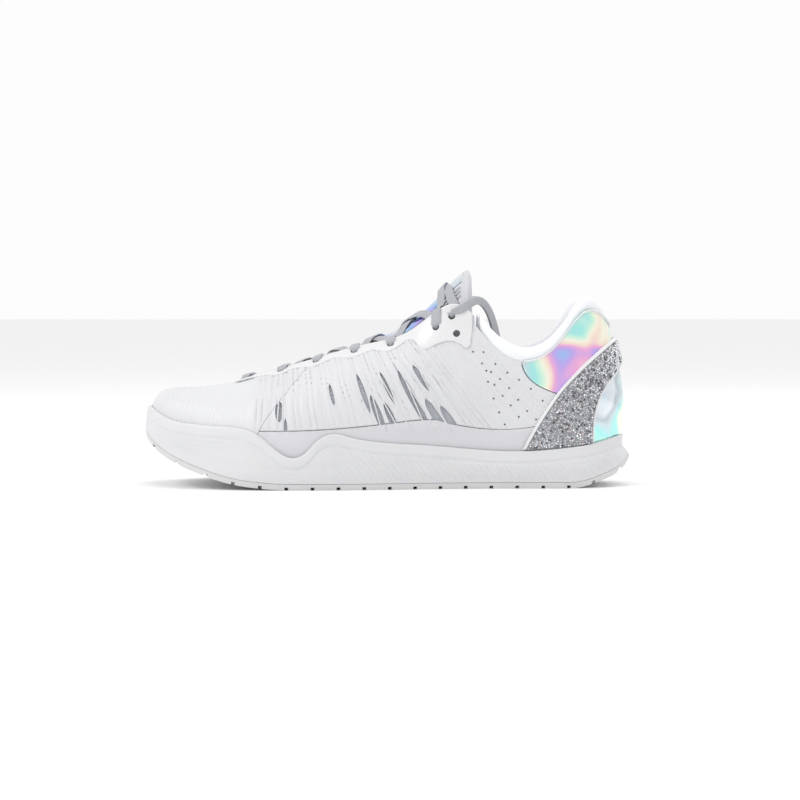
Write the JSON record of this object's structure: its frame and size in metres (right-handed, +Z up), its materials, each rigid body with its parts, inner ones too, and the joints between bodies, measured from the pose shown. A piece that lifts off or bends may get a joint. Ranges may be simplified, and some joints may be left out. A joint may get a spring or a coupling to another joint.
{
  "type": "cheer shoe",
  "caption": "Low-cut left cheer shoe with a cupped foam sole, laced throat over a padded tongue, foil heel panel and a crystal-set heel strap.",
  "frame": {"origin": "on the ground under the middle of the shoe's length and width", "axes": "+X towards the heel, -Y towards the outer (lateral) side, +Z up"},
  "size_m": [0.2845, 0.1038, 0.1246],
  "materials": {
    "rubber_white": "satin",
    "foam_white": "matt foam",
    "shank_grey": "matt",
    "board_white": "woven board",
    "insole_foam": "foam",
    "insole_cloth": "knit",
    "lining_cloth": "knit",
    "stiffener": "matt",
    "mesh_grey": "knit",
    "upper_white": "soft satin",
    "rand_white": "soft satin",
    "foil_holographic": "holographic foil",
    "strap_base": "satin",
    "crystal": "faceted crystals",
    "edge_white": "satin",
    "collar_foam": "foam",
    "collar_satin": "satin",
    "tongue_foam": "foam",
    "binding_grey": "woven tape",
    "lace_silver": "woven with a metallic thread",
    "aglet_clear": "clear film"
  },
  "bodies": {
    "shoe": {"outsole": "rubber_white", "midsole": "foam_white", "midfoot_shank": "shank_grey", "strobel_board": "board_white", "vamp_lining": "lining_cloth", "quarter_lining_lateral": "lining_cloth", "quarter_lining_medial": "lining_cloth", "heel_lining": "lining_cloth", "toe_puff": "stiffener", "heel_counter": "stiffener", "upper_mesh": "mesh_grey", "toe_cap": "upper_white", "cage_lateral": "upper_white", "cage_medial": "upper_white", "rand_lateral": "rand_white", "rand_medial": "rand_white", "eyestay_lateral": "upper_white", "eyestay_medial": "upper_white", "heel_wrap": "foil_holographic", "heel_strap": "strap_base", "crystal_band": "crystal", "strap_edge_lower": "edge_white", "strap_edge_upper": "edge_white", "collar_foam": "collar_foam", "collar_lining": "collar_satin", "topline_piping": "edge_white", "lace": "lace_silver", "lace_end_lateral": "lace_silver", "lace_end_medial": "lace_silver", "aglet_lateral": "aglet_clear", "aglet_medial": "aglet_clear"},
    "tongue": {"tongue_face": "foil_holographic", "tongue_foam": "tongue_foam", "tongue_lining": "lining_cloth", "tongue_binding": "binding_grey"},
    "sockliner": {"sockliner_foam": "insole_foam", "sockliner_cover": "insole_cloth"}
  },
  "joints": [
    {"name": "tongue_hinge", "type": "hinge", "parent": "shoe", "child": "tongue", "pos_m": [-0.092, 0, 0.0485], "axis": [0, 1, 0], "range_deg": [0, 3]},
    {"name": "sockliner_lift", "type": "hinge", "parent": "shoe", "child": "sockliner", "pos_m": [-0.1325, 0, 0.031], "axis": [0, -1, 0], "range_deg": [0, 4]}
  ]
}
